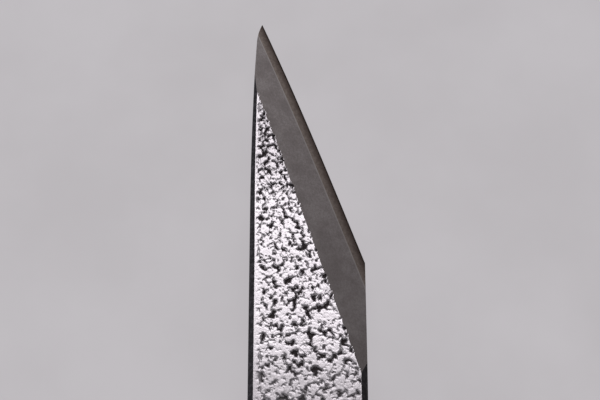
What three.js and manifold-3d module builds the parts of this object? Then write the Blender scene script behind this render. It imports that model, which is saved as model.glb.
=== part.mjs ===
// A boning knife of the kiridashi pattern: a skew-ended, single-bevel blade of soft iron with a hard steel
// layer forge-welded to its back, on a full tang with bolsters, liners and riveted scales. Millimetres.
//
// The knife lies on its back scale with the ground front face up (+Z). +Y runs from the butt to the tip and
// +X from the spine to the cutting edge. The origin is the middle of its footprint on the surface below it.
// Inside the file lengths are measured from the heel, where the cutting edge meets the blade's straight
// side, and heights from the blade's flat back.

import * as THREE from "three";
import { mergeVertices } from "three/addons/utils/BufferGeometryUtils.js";
import Module from "manifold-3d";

const wasm = await Module();
wasm.setup();

// ---------------------------------------------------------------- driving dimensions

const BLADE_WIDTH = 24;
const TIP_REACH = 57; // heel to tip
const RICASSO = 38; // heel to the front of the bolsters
const HANDLE_LENGTH = 112; // front of the bolsters to the butt

const TANG_THICKNESS = 4.5;
const HEEL_THICKNESS = 4.0; // the front face falls evenly from the bolsters to the tip
const BEVEL_RISE = 0.408; // height gained per millimetre in from the edge, across the blade
const EDGE_BELLY = 0.43; // how far the cutting edge bows out past a straight line
const SPINE_CHAMFER = { width: 1.1, depth: 0.72 };
const SPINE_CHAMFER_TAPER = 0.35; // share of it lost by the front end of the hollow
const EDGE_CHAMFER = { width: 1.3, depth: 0.85 };
const CHAMFER_STOP = 2; // the chamfers end this far before the bolsters

const SPINE_BEND_START = 10; // the spine is straight up to here
const SPINE_BEND_LENGTH = 42;
const SPINE_BEND_DROP = 0.98;
const NOSE_LENGTH = 5; // the last of the spine turns in faster, to meet the edge at the tip
const NOSE_DROP = 0.87;

const STEEL_THICKNESS = 0.95; // the hard layer
const STEEL_END = -26; // where it starts to thin out towards the handle
const STEEL_SCARF = 4;

const HOLLOW_RIM = 2.1; // flat land left round the hollow-ground back
const HOLLOW_DEPTH = 0.35;
const HOLLOW_START = -20;
const HOLLOW_END = 47;
const HOLLOW_RUN_OUT = 8;

const BOLSTER_LENGTH = 12;
const BOLSTER_NOSE_HEIGHT = 2.4; // height of a bolster's front wall above the blade
const BOLSTER_RAMP = 4.5; // length over which it rises to the handle's full height
const PIN_RADIUS = 1.5;
const PIN_SETBACK = 8; // front of the bolsters to the pins
const PIN_SPREAD = 4.5; // either side of the middle line

const LINER_THICKNESS = 0.75;
const SCALE_THICKNESS = 6.25;
const ROUNDING_WIDTH = 5.2; // the handle's rounded edges, in plan
const ROUNDING_HEIGHT = 5.4; // and in height
const ROUNDING_STEPS = 6;
const OUTLINE_STEPS = 5;

const RIVET_POSITIONS = { front: -63, middle: -98, rear: -133 };
const RIVET_HEAD_RADIUS = 3.6;
const RIVET_HEAD_HEIGHT = 1.6;
const SLEEVE_RADIUS = 2.4;
const SLEEVE_BORE_RADIUS = 1.7;
const POST_RADIUS = 1.6;
const RIVET_END_GAP = 0.4; // between the sleeve's end and the post's head
const SLEEVE_FLOOR = 3; // metal left at the closed end of the sleeve's bore
const POST_END_GAP = 1; // between the end of the post and that floor
const CLEARANCE = 0.05; // round a rivet or pin in its hole
const ROUND_SEGMENTS = 24;

const BEYOND = 1; // how far a cutter reaches past what it cuts

// ---------------------------------------------------------------- worked-out dimensions

const HALF_WIDTH = BLADE_WIDTH / 2;
const BOLSTER_FRONT = -RICASSO;
const BOLSTER_BACK = BOLSTER_FRONT - BOLSTER_LENGTH;
const BUTT = BOLSTER_FRONT - HANDLE_LENGTH;
const SIDE_HEIGHT = LINER_THICKNESS + SCALE_THICKNESS; // handle on one side of the tang
const HANDLE_TOP = TANG_THICKNESS + SIDE_HEIGHT;
const HANDLE_BOTTOM = -SIDE_HEIGHT;
const DISTAL_TAPER = (TANG_THICKNESS - HEEL_THICKNESS) / RICASSO;
const NOSE_START = TIP_REACH - NOSE_LENGTH;
const TIP_X = spineX(TIP_REACH);

// ---------------------------------------------------------------- the blade's lines

function spineX(y) {
  const bend = Math.max(0, y - SPINE_BEND_START) / SPINE_BEND_LENGTH;
  const nose = Math.max(0, y - NOSE_START) / NOSE_LENGTH;
  return -HALF_WIDTH + SPINE_BEND_DROP * bend ** 2 + NOSE_DROP * nose ** 2;
}

function edgeX(y) {
  const s = y / TIP_REACH;
  const bow = 1.5 * Math.sqrt(3) * (s - s ** 3); // 1 at its fullest
  return THREE.MathUtils.lerp(HALF_WIDTH, TIP_X, s) + EDGE_BELLY * bow;
}

function frontHeight(y) {
  return TANG_THICKNESS - DISTAL_TAPER * Math.max(0, y - BOLSTER_FRONT);
}

function stations(from, to, count) {
  return Array.from({ length: count + 1 }, (_, i) => THREE.MathUtils.lerp(from, to, i / count));
}

// ---------------------------------------------------------------- solids

function solid(geometry) {
  const bare = geometry.index ? geometry.toNonIndexed() : geometry.clone();
  bare.deleteAttribute("normal");
  bare.deleteAttribute("uv");
  const merged = mergeVertices(bare, 1e-4);
  return new wasm.Manifold(
    new wasm.Mesh({
      numProp: 3,
      vertProperties: merged.attributes.position.array,
      triVerts: new Uint32Array(merged.index.array),
    }),
  );
}

function geometryOf(manifold) {
  const mesh = manifold.getMesh();
  const geometry = new THREE.BufferGeometry();
  geometry.setAttribute("position", new THREE.BufferAttribute(mesh.vertProperties, mesh.numProp));
  geometry.setIndex(new THREE.BufferAttribute(mesh.triVerts, 1));
  return geometry;
}

function block(x0, x1, y0, y1, z0, z1) {
  const box = new THREE.BoxGeometry(x1 - x0, y1 - y0, z1 - z0);
  return solid(box.translate((x0 + x1) / 2, (y0 + y1) / 2, (z0 + z1) / 2));
}

// An upright cylinder with its axis at (x, y).
function rod(radius, x, y, z0, z1) {
  const cylinder = new THREE.CylinderGeometry(radius, radius, z1 - z0, ROUND_SEGMENTS);
  return solid(cylinder.rotateX(Math.PI / 2).translate(x, y, (z0 + z1) / 2));
}

// A body through convex sections that stand across the knife. section(y) lists [x, z] points,
// anticlockwise as seen when looking towards the tip.
function loft(ys, section) {
  const rings = ys.map((y) => section(y).map(([x, z]) => new THREE.Vector3(x, y, z)));
  const n = rings[0].length;
  const corners = [];
  const face = (...points) => points.forEach((p) => corners.push(p.x, p.y, p.z));
  for (let i = 1; i < n - 1; i++) {
    face(rings[0][0], rings[0][i], rings[0][i + 1]);
    const last = rings[rings.length - 1];
    face(last[0], last[i + 1], last[i]);
  }
  for (let j = 0; j < rings.length - 1; j++) {
    for (let i = 0; i < n; i++) {
      const [a, b] = [rings[j][i], rings[j][(i + 1) % n]];
      const [d, c] = [rings[j + 1][i], rings[j + 1][(i + 1) % n]];
      face(a, c, b);
      face(a, d, c);
    }
  }
  const geometry = new THREE.BufferGeometry();
  geometry.setAttribute("position", new THREE.Float32BufferAttribute(corners, 3));
  return solid(geometry);
}

// A body right across the knife from an outline drawn in side view, as (y, z).
function acrossKnife(shape) {
  const width = 4 * BLADE_WIDTH;
  const extruded = new THREE.ExtrudeGeometry(shape, {
    depth: width,
    bevelEnabled: false,
    curveSegments: OUTLINE_STEPS,
  });
  const sideView = new THREE.Matrix4().makeBasis(
    new THREE.Vector3(0, 1, 0),
    new THREE.Vector3(0, 0, 1),
    new THREE.Vector3(1, 0, 0),
  );
  return solid(extruded.translate(0, 0, -width / 2).applyMatrix4(sideView));
}

// ---------------------------------------------------------------- outlines in plan

// Continues a path from (HALF_WIDTH, BOLSTER_FRONT) round the butt to (-HALF_WIDTH, BOLSTER_FRONT).
function handleOutline(path) {
  path.splineThru([
    new THREE.Vector2(11.35, BOLSTER_FRONT - 18),
    new THREE.Vector2(11.25, BOLSTER_FRONT - 34),
    new THREE.Vector2(11.85, BOLSTER_FRONT - 62),
    new THREE.Vector2(11.7, BOLSTER_FRONT - 84),
    new THREE.Vector2(11.0, BUTT + 8),
  ]);
  path.bezierCurveTo(10.5, BUTT + 2.5, 8, BUTT, 4, BUTT);
  path.lineTo(-4.5, BUTT);
  path.bezierCurveTo(-8.5, BUTT, -10.8, BUTT + 2.5, -11.2, BUTT + 8);
  path.splineThru([
    new THREE.Vector2(-11.6, BUTT + 34),
    new THREE.Vector2(-11.65, BOLSTER_FRONT - 45),
    new THREE.Vector2(-HALF_WIDTH, BOLSTER_FRONT),
  ]);
  return path;
}

function blankOutline() {
  const spine = stations(TIP_REACH + BEYOND, NOSE_START, 8).concat(
    stations(NOSE_START, SPINE_BEND_START, 10).slice(1),
  );
  const path = new THREE.Shape();
  path.moveTo(-HALF_WIDTH, BOLSTER_FRONT);
  spine.reverse().forEach((y) => path.lineTo(spineX(y), y));
  path.lineTo(TIP_X + 2 * BEYOND, TIP_REACH + BEYOND);
  path.lineTo(HALF_WIDTH, 3 * BEYOND);
  path.lineTo(HALF_WIDTH, BOLSTER_FRONT);
  return handleOutline(path);
}

// ---------------------------------------------------------------- blade

function bevelCutter() {
  const reach = 14;
  return loft(stations(-reach * 3, TIP_REACH + 2 * BEYOND, 24), (y) => [
    [edgeX(y) + 3 * BEYOND, -3 * BEYOND * BEVEL_RISE],
    [edgeX(y) + 3 * BEYOND, reach * BEVEL_RISE],
    [edgeX(y) - reach, reach * BEVEL_RISE],
  ]);
}

// Takes off the corner between the front face and a side. side is -1 at the spine and 1 at the edge,
// and scale(y) is how much of the chamfer's full size is left at y.
function chamferCutter(side, { width, depth }, sideX, scale, to) {
  const slope = depth / width;
  return loft(stations(BOLSTER_FRONT + CHAMFER_STOP, to, 20), (y) => {
    const size = scale(y);
    const outer = [sideX(y) + side * BEYOND, frontHeight(y) - size * depth - BEYOND * slope];
    const inner = [sideX(y) - side * (size * width + BEYOND), frontHeight(y) + BEYOND * slope];
    const above = [outer[0], inner[1]];
    return side < 0 ? [outer, inner, above] : [outer, above, inner];
  });
}

function taperCutter() {
  const far = TIP_REACH + 10;
  const profile = new THREE.Shape();
  profile.moveTo(BOLSTER_FRONT, TANG_THICKNESS);
  profile.lineTo(far, frontHeight(far));
  profile.lineTo(far, TANG_THICKNESS + BEYOND);
  profile.lineTo(BOLSTER_FRONT, TANG_THICKNESS + BEYOND);
  return acrossKnife(profile);
}

function hollowCutter() {
  const across = stations(0, 1, 8);
  return loft(stations(HOLLOW_START, HOLLOW_END, 16), (y) => {
    const x0 = spineX(y) + HOLLOW_RIM;
    const x1 = Math.min(HALF_WIDTH, edgeX(y)) - HOLLOW_RIM;
    const endDistance = Math.min(y - HOLLOW_START, HOLLOW_END - y);
    const depth = HOLLOW_DEPTH * THREE.MathUtils.smoothstep(endDistance, 0, HOLLOW_RUN_OUT);
    const arc = across.map((s) => [
      THREE.MathUtils.lerp(x1, x0, s),
      4 * depth * s * (1 - s) - 0.01,
    ]);
    return [[x0, -BEYOND], [x1, -BEYOND], ...arc];
  });
}

// The space that the hard steel takes: a layer on the back that thins out towards the handle.
function steelSpace() {
  const slope = STEEL_THICKNESS / STEEL_SCARF;
  const far = TIP_REACH + 10;
  const profile = new THREE.Shape();
  profile.moveTo(far, STEEL_THICKNESS);
  profile.lineTo(STEEL_END, STEEL_THICKNESS);
  profile.lineTo(STEEL_END - STEEL_SCARF - BEYOND / slope, -BEYOND);
  profile.lineTo(far, -BEYOND);
  return acrossKnife(profile);
}

function forgedBlade() {
  const outline = new THREE.ExtrudeGeometry(blankOutline(), {
    depth: TANG_THICKNESS,
    bevelEnabled: false,
    curveSegments: OUTLINE_STEPS,
  });
  const spineScale = (y) => 1 - SPINE_CHAMFER_TAPER * THREE.MathUtils.clamp(y / HOLLOW_END, 0, 1);
  const spineChamfer = chamferCutter(-1, SPINE_CHAMFER, spineX, spineScale, TIP_REACH + BEYOND);
  const edgeChamfer = chamferCutter(
    1,
    EDGE_CHAMFER,
    () => HALF_WIDTH,
    () => 1,
    0,
  );
  return solid(outline)
    .subtract(taperCutter())
    .subtract(spineChamfer)
    .subtract(edgeChamfer)
    .subtract(bevelCutter())
    .subtract(hollowCutter());
}

// ---------------------------------------------------------------- handle

const PIN_Y = BOLSTER_FRONT - PIN_SETBACK;
const PIN_X = { spine: -PIN_SPREAD, edge: PIN_SPREAD };

// The outside of the whole handle, both sides of the tang, with its rounded edges.
function handleForm() {
  const path = new THREE.Shape();
  path.moveTo(-HALF_WIDTH, BOLSTER_FRONT + 8);
  path.lineTo(HALF_WIDTH, BOLSTER_FRONT + 8);
  path.lineTo(HALF_WIDTH, BOLSTER_FRONT);
  handleOutline(path);
  const form = new THREE.ExtrudeGeometry(path, {
    depth: HANDLE_TOP - HANDLE_BOTTOM - 2 * ROUNDING_HEIGHT,
    bevelThickness: ROUNDING_HEIGHT,
    bevelSize: ROUNDING_WIDTH,
    bevelOffset: -ROUNDING_WIDTH,
    bevelSegments: ROUNDING_STEPS,
    curveSegments: OUTLINE_STEPS,
  });
  return solid(form.translate(0, 0, HANDLE_BOTTOM + ROUNDING_HEIGHT));
}

// Cuts the curved ramp at the front of both bolsters.
function rampCutter() {
  const ramp = (base, top, far) => {
    const profile = new THREE.Shape();
    profile.moveTo(BOLSTER_FRONT + BEYOND, base);
    profile.lineTo(BOLSTER_FRONT, base);
    profile.quadraticCurveTo(BOLSTER_FRONT - 0.25 * BOLSTER_RAMP, top, BOLSTER_FRONT - BOLSTER_RAMP, top);
    profile.lineTo(BOLSTER_FRONT - BOLSTER_RAMP, far);
    profile.lineTo(BOLSTER_FRONT + BEYOND, far);
    return acrossKnife(profile);
  };
  const frontBase = TANG_THICKNESS + BOLSTER_NOSE_HEIGHT;
  const backBase = -BOLSTER_NOSE_HEIGHT;
  return ramp(frontBase, HANDLE_TOP, HANDLE_TOP + BEYOND).add(
    ramp(backBase, HANDLE_BOTTOM, HANDLE_BOTTOM - BEYOND),
  );
}

function pinHoles() {
  const [spine, edge] = Object.values(PIN_X).map((x) =>
    rod(PIN_RADIUS + CLEARANCE, x, PIN_Y, HANDLE_BOTTOM - BEYOND, HANDLE_TOP + BEYOND),
  );
  return spine.add(edge);
}

// The stepped holes for all the rivets, through both sides of the handle.
function rivetHoles() {
  const counterbore = RIVET_HEAD_HEIGHT + CLEARANCE;
  return Object.values(RIVET_POSITIONS)
    .map((y) =>
      rod(SLEEVE_RADIUS + CLEARANCE, 0, y, HANDLE_BOTTOM - BEYOND, HANDLE_TOP + BEYOND)
        .add(rod(RIVET_HEAD_RADIUS + CLEARANCE, 0, y, HANDLE_TOP - counterbore, HANDLE_TOP + BEYOND))
        .add(
          rod(RIVET_HEAD_RADIUS + CLEARANCE, 0, y, HANDLE_BOTTOM - BEYOND, HANDLE_BOTTOM + counterbore),
        ),
    )
    .reduce((all, hole) => all.add(hole));
}

// The back half of a rivet: a flat head with a bored stem that runs through the handle.
function rivetSleeve(y) {
  const stemEnd = HANDLE_TOP - RIVET_HEAD_HEIGHT - RIVET_END_GAP;
  return rod(RIVET_HEAD_RADIUS, 0, y, HANDLE_BOTTOM, HANDLE_BOTTOM + RIVET_HEAD_HEIGHT)
    .add(rod(SLEEVE_RADIUS, 0, y, HANDLE_BOTTOM, stemEnd))
    .subtract(rod(SLEEVE_BORE_RADIUS, 0, y, HANDLE_BOTTOM + SLEEVE_FLOOR, stemEnd + BEYOND));
}

// The front half: a flat head with a solid post pressed into the sleeve's bore.
function rivetPost(y) {
  return rod(RIVET_HEAD_RADIUS, 0, y, HANDLE_TOP - RIVET_HEAD_HEIGHT, HANDLE_TOP).add(
    rod(POST_RADIUS, 0, y, HANDLE_BOTTOM + SLEEVE_FLOOR + POST_END_GAP, HANDLE_TOP),
  );
}

// ---------------------------------------------------------------- materials

const material = (color, roughness, metalness) =>
  new THREE.MeshStandardMaterial({ color, roughness, metalness });

const SOFT_IRON = material(0x8f8c8b, 0.35, 1);
const HARD_STEEL = material(0x5a5350, 0.3, 1);
const BOLSTER_STEEL = material(0xb9b8b6, 0.28, 1);
const RIVET_STEEL = material(0xc6c3bc, 0.25, 1);
const LINER_FIBRE = material(0x16140f, 0.75, 0);
const SCALE_WOOD = material(0x3a2118, 0.5, 0);

// ---------------------------------------------------------------- assembly

const knife = new THREE.Group();

function place(name, manifold, finish) {
  const mesh = new THREE.Mesh(geometryOf(manifold), finish);
  mesh.name = name;
  knife.add(mesh);
}

const blade = forgedBlade().subtract(pinHoles()).subtract(rivetHoles());
place("blade_body", blade.subtract(steelSpace()), SOFT_IRON);
place("edge_steel", blade.intersect(steelSpace()), HARD_STEEL);

const form = handleForm();
const wide = BLADE_WIDTH;
const sides = {
  front: { face: TANG_THICKNESS, outward: 1 },
  back: { face: 0, outward: -1 },
};
for (const [side, { face, outward }] of Object.entries(sides)) {
  // A slab of the handle between two heights above this side of the tang.
  const layer = (y0, y1, low, high) => {
    const [za, zb] = [face + outward * low, face + outward * high].sort((a, b) => a - b);
    return form.intersect(block(-wide, wide, y0, y1, za, zb));
  };
  const beyondTop = SIDE_HEIGHT + BEYOND;
  const bolster = layer(BOLSTER_BACK, BOLSTER_FRONT, 0, beyondTop)
    .subtract(rampCutter())
    .subtract(pinHoles());
  const liner = layer(BUTT - BEYOND, BOLSTER_BACK, 0, LINER_THICKNESS).subtract(rivetHoles());
  const scale = layer(BUTT - BEYOND, BOLSTER_BACK, LINER_THICKNESS, beyondTop).subtract(rivetHoles());
  place(`${side}_bolster`, bolster, BOLSTER_STEEL);
  place(`${side}_liner`, liner, LINER_FIBRE);
  place(`${side}_scale`, scale, SCALE_WOOD);
}

for (const [name, x] of Object.entries(PIN_X)) {
  place(`bolster_pin_${name}`, rod(PIN_RADIUS, x, PIN_Y, HANDLE_BOTTOM, HANDLE_TOP), RIVET_STEEL);
}

for (const [name, y] of Object.entries(RIVET_POSITIONS)) {
  place(`${name}_rivet_sleeve`, rivetSleeve(y), RIVET_STEEL);
  place(`${name}_rivet_post`, rivetPost(y), RIVET_STEEL);
}

// Stands the knife on its frame: middle of its length at the origin, lowest face at zero height.
knife.position.set(0, -(TIP_REACH + BUTT) / 2, -HANDLE_BOTTOM);

const part = new THREE.Group();
part.add(knife);

export default part;
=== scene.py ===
import math

import bmesh
import bpy
import numpy as np
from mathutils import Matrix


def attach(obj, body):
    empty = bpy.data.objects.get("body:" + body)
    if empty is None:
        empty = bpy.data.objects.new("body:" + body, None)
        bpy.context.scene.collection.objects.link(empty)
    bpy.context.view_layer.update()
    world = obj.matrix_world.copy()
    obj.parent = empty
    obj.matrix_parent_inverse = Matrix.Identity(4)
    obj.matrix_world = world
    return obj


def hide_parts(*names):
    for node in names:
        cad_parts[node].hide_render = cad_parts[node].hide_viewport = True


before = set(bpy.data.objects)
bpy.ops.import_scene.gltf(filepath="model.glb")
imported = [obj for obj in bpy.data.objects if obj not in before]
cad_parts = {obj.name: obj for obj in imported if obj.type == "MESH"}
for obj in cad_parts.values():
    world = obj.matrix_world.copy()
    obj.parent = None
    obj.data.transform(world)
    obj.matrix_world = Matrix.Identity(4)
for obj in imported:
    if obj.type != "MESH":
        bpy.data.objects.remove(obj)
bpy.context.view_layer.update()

# A kiridashi-pattern boning knife that lies on its back scale, with the ground front face up.
# Shapes are worked out in millimetres in the knife's own frame: x from spine to edge, y from the heel
# (0) towards the tip, z up from the blade's flat back. row_points() turns them into the row's metres.

# ---------------------------------------------------------------- driving dimensions, as in the CAD

BLADE_WIDTH = 24.0
TIP_REACH = 57.0
RICASSO = 38.0
HANDLE_LENGTH = 112.0
TANG_THICKNESS = 4.5
HEEL_THICKNESS = 4.0
BEVEL_RISE = 0.408
EDGE_BELLY = 0.43
SPINE_CHAMFER = (1.1, 0.72)
SPINE_CHAMFER_TAPER = 0.35
EDGE_CHAMFER = (1.3, 0.85)
SPINE_BEND_START = 10.0
SPINE_BEND_LENGTH = 42.0
SPINE_BEND_DROP = 0.98
NOSE_LENGTH = 5.0
NOSE_DROP = 0.87
STEEL_THICKNESS = 0.95
STEEL_END = -26.0
STEEL_SCARF = 4.0
HOLLOW_RIM = 2.1
HOLLOW_DEPTH = 0.35
HOLLOW_START = -20.0
HOLLOW_END = 47.0
HOLLOW_RUN_OUT = 8.0
BOLSTER_LENGTH = 12.0
BOLSTER_NOSE_HEIGHT = 2.4
BOLSTER_RAMP = 4.5
BOLSTER_RAMP_PULL = 0.25
PIN_RADIUS = 1.5
PIN_SETBACK = 8.0
PIN_SPREAD = 4.5
LINER_THICKNESS = 0.75
SCALE_THICKNESS = 6.25
ROUNDING_WIDTH = 5.2
ROUNDING_HEIGHT = 5.4
RIVET_POSITIONS = {"front": -63.0, "middle": -98.0, "rear": -133.0}
RIVET_HEAD_RADIUS = 3.6
RIVET_HEAD_HEIGHT = 1.6
SLEEVE_RADIUS = 2.4
SLEEVE_BORE_RADIUS = 1.7
POST_RADIUS = 1.6
RIVET_END_GAP = 0.4
SLEEVE_FLOOR = 3.0
POST_END_GAP = 1.0
CLEARANCE = 0.05
BUTT_CORNER = 8.0

# Details of the blade that the CAD doesn't have.
MICRO_BEVEL_WIDTH = 0.28
MICRO_BEVEL_HEIGHT = 0.2
CHAMFER_RUN_OUT = (-37.0, -35.0)

# ---------------------------------------------------------------- worked-out dimensions

METRE = 1000.0
MM = 1 / METRE
HALF_WIDTH = BLADE_WIDTH / 2
BOLSTER_FRONT = -RICASSO
BOLSTER_BACK = BOLSTER_FRONT - BOLSTER_LENGTH
BUTT = BOLSTER_FRONT - HANDLE_LENGTH
SIDE_HEIGHT = LINER_THICKNESS + SCALE_THICKNESS
HANDLE_TOP = TANG_THICKNESS + SIDE_HEIGHT
HANDLE_BOTTOM = -SIDE_HEIGHT
SIDE_WALL = SIDE_HEIGHT - ROUNDING_HEIGHT
PIN_Y = BOLSTER_FRONT - PIN_SETBACK
ROW_SHIFT = np.array([0.0, -(TIP_REACH + BUTT) / 2, SIDE_HEIGHT])

SKIN_END = HOLLOW_END - 6
STEEL_END_MARGIN = 0.1

# How finely the meshes are divided.
SKIN_PITCH = 0.145
SKIN_COLUMNS = 150
BEVEL_COLUMNS = 4
CHAMFER_COLUMNS = 3
WELD_COLUMNS = 2
BACK_PITCH = 0.5
BACK_COLUMNS = 72
STEEL_FACE_COLUMNS = 6
MICRO_BEVEL_COLUMNS = 2
BUTT_STATIONS = 24
GRIP_STATIONS = 60
NOSE_STATIONS = 60
STEEL_NOSE_STATIONS = 50
SEARCH_STATIONS = 4000
STATION_DIGITS = 6
OUTLINE_STEPS = 20
EDGE_OUTLINE_STEPS = 12
BUTT_STEPS = 6
ROUNDING_STEPS = 13
RAMP_STEPS = 25
FLAT_STEPS = 6
TOP_STEPS = 8
HOLE_SEGMENTS = 48
ROUND_SEGMENTS = 64

BODY = "root"
BEYOND = 1.0  # how far a cutter reaches past what it cuts
SHARP_ANGLE = math.radians(25)
NARROWEST = 1e-6
MERGE_DISTANCE = 0.0002 * MM
TINY = 0.0001 * MM


def row_points(points):
    return (np.asarray(points, float) + ROW_SHIFT) * MM


def smooth(low, high, x):
    """0 up to low and 1 from high, with an even curve between them. low may be the larger."""
    t = np.clip((x - low) / (high - low), 0, 1)
    return t * t * (3 - 2 * t)


# ---------------------------------------------------------------- the blade's lines


def spine_x(y):
    """Where across the blade its spine is. It bends in towards the tip and rounds off at the nose."""
    bend = np.maximum(0, y - SPINE_BEND_START) / SPINE_BEND_LENGTH
    nose = np.maximum(0, y - TIP_REACH + NOSE_LENGTH) / NOSE_LENGTH
    return -HALF_WIDTH + SPINE_BEND_DROP * bend**2 + NOSE_DROP * nose**2


def edge_x(y):
    """Where across the blade its cutting edge is: a line from heel to tip that bows out by the belly."""
    s = y / TIP_REACH
    bow = 1.5 * math.sqrt(3) * (s - s**3)  # 1 where it is largest
    return HALF_WIDTH + (spine_x(TIP_REACH) - HALF_WIDTH) * s + EDGE_BELLY * bow


def front_height(y):
    """Height of the front face. It falls evenly from the bolsters to the tip."""
    taper = (TANG_THICKNESS - HEEL_THICKNESS) / RICASSO
    return TANG_THICKNESS - taper * np.maximum(0, y - BOLSTER_FRONT)


def catmull_rom(points, steps):
    """A smooth curve through the points, without the last of them."""
    points = [np.array(p) for p in (points[0], *points, points[-1])]
    curve = []
    for a, b, c, d in zip(points, points[1:], points[2:], points[3:]):
        for t in np.arange(steps) / steps:
            curve.append(
                b
                + 0.5 * (c - a) * t
                + (a - 2.5 * b + 2 * c - 0.5 * d) * t**2
                + (1.5 * b - 0.5 * a - 1.5 * c + 0.5 * d) * t**3
            )
    return curve


def bezier(a, b, c, d, steps):
    """A cubic curve, without its last point."""
    a, b, c, d = (np.array(p) for p in (a, b, c, d))
    ts = np.arange(steps) / steps
    return [(1 - t) ** 3 * a + 3 * (1 - t) ** 2 * t * b + 3 * (1 - t) * t**2 * c + t**3 * d for t in ts]


def handle_outline():
    """The handle in plan, from the edge side of the bolsters round the butt to the spine side."""
    edge_side = [
        (HALF_WIDTH, BOLSTER_FRONT),
        (11.35, BOLSTER_FRONT - 18),
        (11.25, BOLSTER_FRONT - 34),
        (11.85, BOLSTER_FRONT - 62),
        (11.7, BOLSTER_FRONT - 84),
        (11.0, BUTT + BUTT_CORNER),
    ]
    spine_side = [
        (-11.2, BUTT + BUTT_CORNER),
        (-11.6, BUTT + 34),
        (-11.65, BOLSTER_FRONT - 45),
        (-HALF_WIDTH, BOLSTER_FRONT),
    ]
    flat_edge_end, flat_spine_end = 4, -4.5
    flat = flat_edge_end + (flat_spine_end - flat_edge_end) * np.arange(BUTT_STEPS) / BUTT_STEPS
    curve = catmull_rom(edge_side, EDGE_OUTLINE_STEPS)
    curve += bezier(
        edge_side[-1], (10.5, BUTT + 2.5), (8, BUTT), (flat_edge_end, BUTT), OUTLINE_STEPS
    )
    curve += [np.array((x, BUTT)) for x in flat]
    curve += bezier(
        (flat_spine_end, BUTT), (-8.5, BUTT), (-10.8, BUTT + 2.5), spine_side[0], OUTLINE_STEPS
    )
    curve += catmull_rom(spine_side, OUTLINE_STEPS)
    return np.array(curve + [np.array(spine_side[-1])])


OUTLINE = handle_outline()


def handle_sides(y):
    """Where the handle's spine side and edge side are at each y. Both end at the flat of the butt."""
    flat = np.flatnonzero(OUTLINE[:, 1] == BUTT)
    edge_side, spine_side = OUTLINE[: flat[0] + 1][::-1], OUTLINE[flat[-1] :]
    return (
        np.interp(y, spine_side[:, 1], spine_side[:, 0]),
        np.interp(y, edge_side[:, 1], edge_side[:, 0]),
    )


# ---------------------------------------------------------------- the forged skin of the front face


class Noise:
    """Gradient noise over the plane, about -1 to 1, from its own seed."""

    LATTICE = 256
    GAIN = 1.5

    def __init__(self, seed):
        angles = np.random.default_rng(seed).uniform(0, 2 * np.pi, (self.LATTICE, self.LATTICE))
        self.gradients = np.cos(angles), np.sin(angles)

    def __call__(self, x, y):
        column, row = np.floor(x).astype(int), np.floor(y).astype(int)
        u, v = x - column, y - row
        fade_u, fade_v = (t**3 * (t * (6 * t - 15) + 10) for t in (u, v))

        def corner(i, j):
            at = (column + i) % self.LATTICE, (row + j) % self.LATTICE
            return self.gradients[0][at] * (u - i) + self.gradients[1][at] * (v - j)

        low = corner(0, 0) * (1 - fade_u) + corner(1, 0) * fade_u
        high = corner(0, 1) * (1 - fade_u) + corner(1, 1) * fade_u
        return self.GAIN * (low * (1 - fade_v) + high * fade_v)


SKIN_SEED = 7
WARP_X = [Noise(SKIN_SEED), Noise(SKIN_SEED + 1)]
WARP_Y = [Noise(SKIN_SEED + 2), Noise(SKIN_SEED + 3)]
ROUGH = [Noise(SKIN_SEED + 5), Noise(SKIN_SEED + 6)]
DRIFT = Noise(SKIN_SEED + 7)
GRAIN = Noise(SKIN_SEED + 8)

LUMP_SIZE = 1.1  # at the heel
LUMP_SHRINK = 0.006  # lost with each millimetre towards the tip
LUMP_TURN = 0.6  # in radians
LUMP_JITTER = 0.42
LUMP_TOPS = (0.88, 1.12)
LUMP_STEEPNESS = (0.7, 1.5)
LUMP_BLEND = 0.04
LUMP_ROUGH = (0.2, 0.1)
WARP = (0.45, 0.2)
WARP_SIZES = (1.3, 0.5)
DRIFT_AMOUNT = 0.06
DRIFT_SIZE = 5.0
CRINKLE_SIZE = 0.43  # as a share of a lump
CRINKLE_LEVEL = 0.12
CRINKLE_FADE = 0.2  # added to the level, so that crinkles die out towards the heel
CRINKLE_FADE_RANGE = (42.0, 20.0)
TIP_PITTING = 0.11
TIP_PITTING_RANGE = (12.0, 26.0)
TIP_DULLNESS = 0.65
TIP_DULL_RANGE = (10.0, 24.0)

PIT_LEVEL = 0.76  # the field's value at a pit's rim
PIT_SLOPE = 0.95
PIT_FLOOR = 0.3
PIT_SOFTNESS = 0.014
PIT_DARK_RANGE = (PIT_LEVEL - 0.02, PIT_LEVEL - 0.3)
SOFT_RANGE = (-16.0, -30.0)  # towards the handle the pits are softer, shallower and paler
SOFT_SHALLOW = 0.15
SOFT_PALE = 0.2
SKIN_DOME = 0.04
SKIN_GRAIN = 0.008
SKIN_GRAIN_SIZE = 0.3
SKIN_MARGIN = 1.0  # plain land beside the spine's chamfer
SKIN_MARGIN_DOUBLES = (12.0, -15.0)  # towards the handle it becomes twice as wide
BEVEL_MARGIN = 0.35
BOLSTER_MARGIN = 0.6
RIDGE_WAVE = 0.5  # share of the skin's height that the bevel's ridge follows
RIDGE_RUN_OUT = 2.0


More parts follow.
